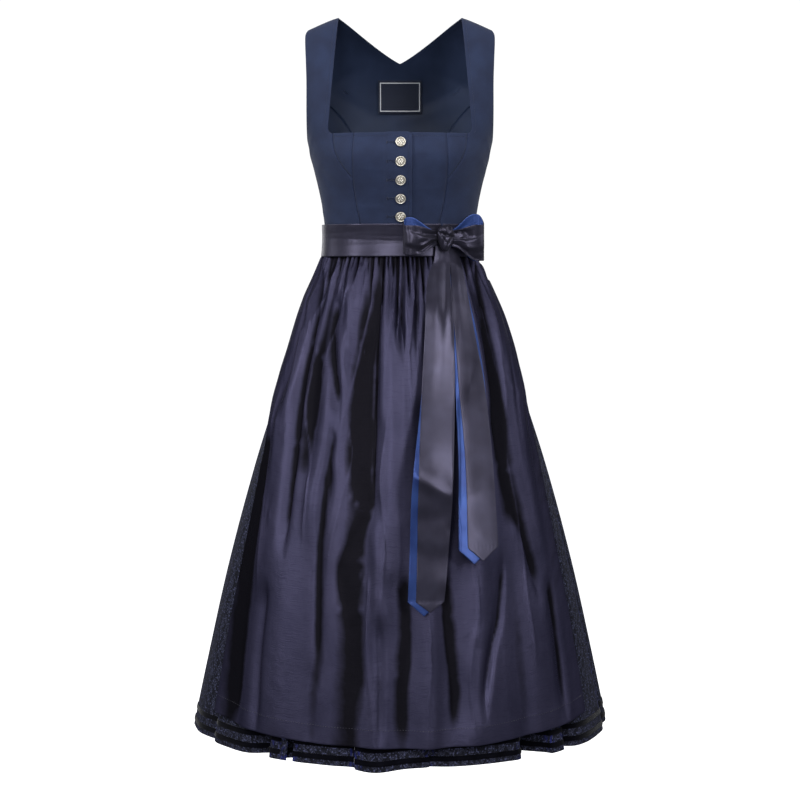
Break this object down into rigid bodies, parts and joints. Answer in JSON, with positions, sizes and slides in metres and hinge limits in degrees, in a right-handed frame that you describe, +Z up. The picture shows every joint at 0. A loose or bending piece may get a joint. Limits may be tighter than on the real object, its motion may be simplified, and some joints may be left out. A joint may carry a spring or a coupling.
{
  "type": "sleeveless dirndl dress with apron and bow",
  "caption": "Sleeveless folk dress with a square-necked buttoned bodice, gathered skirt, gathered taffeta apron and a satin sash tied in a bow.",
  "frame": {"origin": "midway between the two shoulder crests, at their height, where the wearer's shoulders carry the dress", "axes": "+Z up along the body, -Y towards the front of the dress, +X towards the wearer's left"},
  "size_m": [0.6749, 0.6352, 1.1483],
  "materials": {
    "bodice_cloth": "fine navy worsted twill, matt",
    "skirt_cloth": "near-black figured cotton, matt with a faint fleck",
    "velvet": "black velvet ribbon, short upright pile",
    "taffeta": "dark violet-navy taffeta, crisp with a soft metallic sheen",
    "black_satin": "black duchesse satin ribbon, smooth sheen",
    "blue_satin": "royal blue satin ribbon, smooth sheen",
    "button_metal": "antique silver, dark in the hollows and worn bright on the relief",
    "label_cloth": "woven navy label with a thin pale border and no lettering"
  },
  "bodies": {
    "root": {"front_right_placket": "bodice_cloth", "front_left": "bodice_cloth", "front_side_left": "bodice_cloth", "front_cup_left": "bodice_cloth", "back_side_left": "bodice_cloth", "front_side_right": "bodice_cloth", "front_cup_right": "bodice_cloth", "back_side_right": "bodice_cloth", "back_centre": "bodice_cloth", "button_1": "button_metal", "button_2": "button_metal", "button_3": "button_metal", "button_4": "button_metal", "button_5": "button_metal", "label": "label_cloth", "skirt_front": "skirt_cloth", "hem_ribbon_low_front": "velvet", "hem_ribbon_high_front": "velvet", "skirt_back": "skirt_cloth", "hem_ribbon_low_back": "velvet", "hem_ribbon_high_back": "velvet", "apron": "taffeta", "sash": "black_satin", "bow_knot": "black_satin", "bow_right_black": "black_satin", "bow_right_blue": "blue_satin", "tail_right_black": "black_satin", "tail_right_blue": "blue_satin", "bow_left_black": "black_satin", "bow_left_blue": "blue_satin", "tail_left_black": "black_satin", "tail_left_blue": "blue_satin"}
  },
  "joints": []
}
